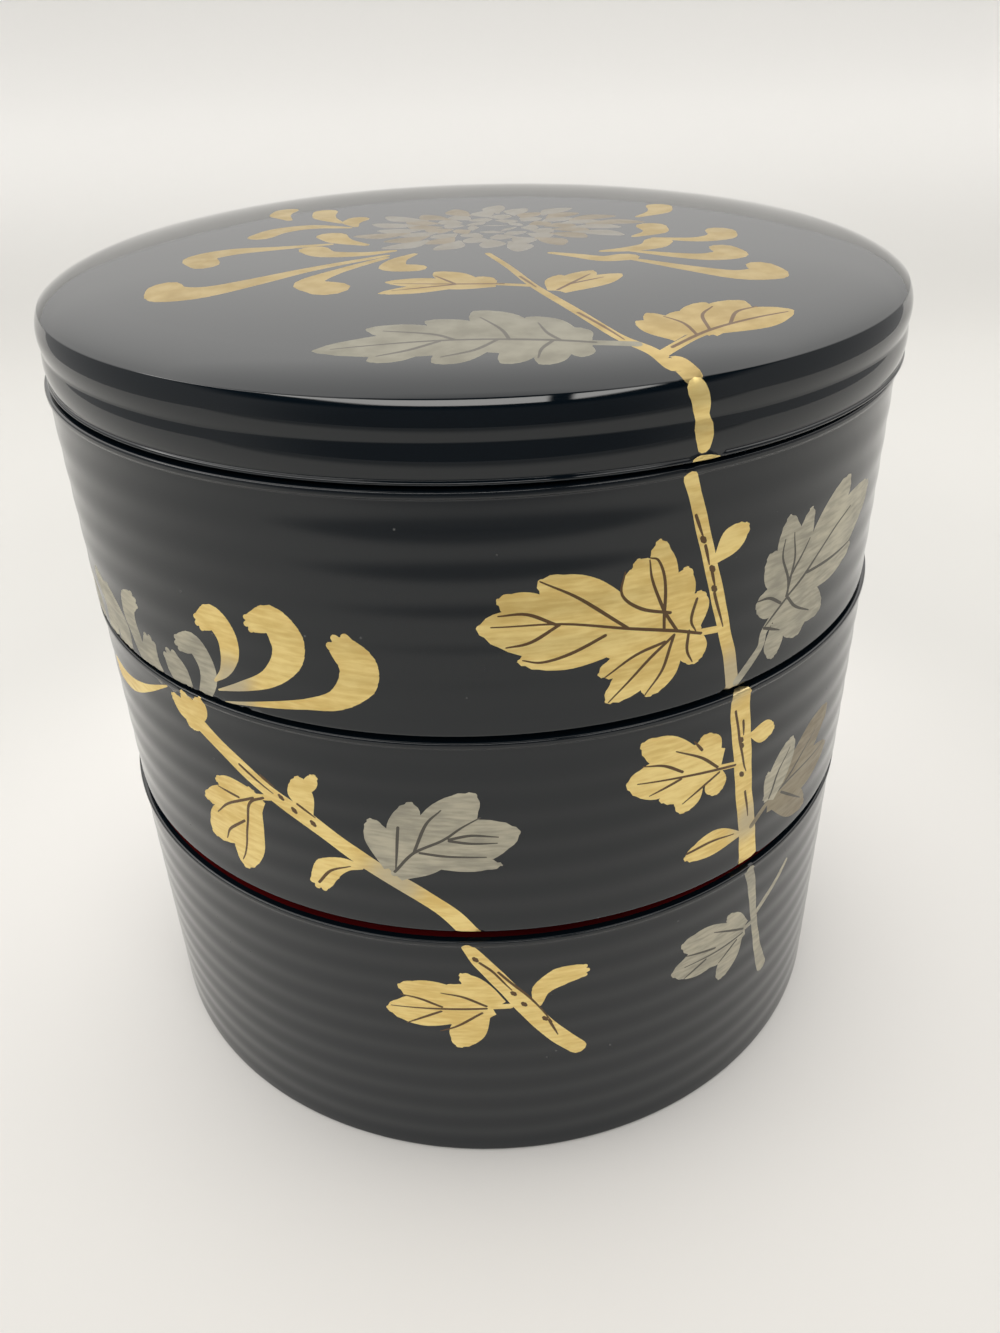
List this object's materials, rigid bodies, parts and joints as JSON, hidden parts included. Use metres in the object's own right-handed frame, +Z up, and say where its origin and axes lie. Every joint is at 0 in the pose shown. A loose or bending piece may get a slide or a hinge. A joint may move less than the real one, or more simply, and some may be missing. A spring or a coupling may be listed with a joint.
{
  "type": "tiered trinket box",
  "caption": "Round lacquered box of stacked ribbed tiers under a lift-off domed lid, painted with chrysanthemums in gold and silver.",
  "frame": {"origin": "on the table, under the centre of the box", "axes": "+Z up through the lid; -Y towards the side that the picture shows; +X to its right"},
  "size_m": [0.1508, 0.15, 0.1545],
  "materials": {
    "tier_lacquer": "turned wood under polished black lacquer outside and dark red lacquer inside, painted in gold and silver",
    "lid_lacquer": "turned wood under polished black lacquer, painted in gold and silver"
  },
  "bodies": {
    "root": {"bottom_tier": "tier_lacquer", "middle_tier": "tier_lacquer", "top_tier": "tier_lacquer", "lid": "lid_lacquer"}
  },
  "joints": []
}
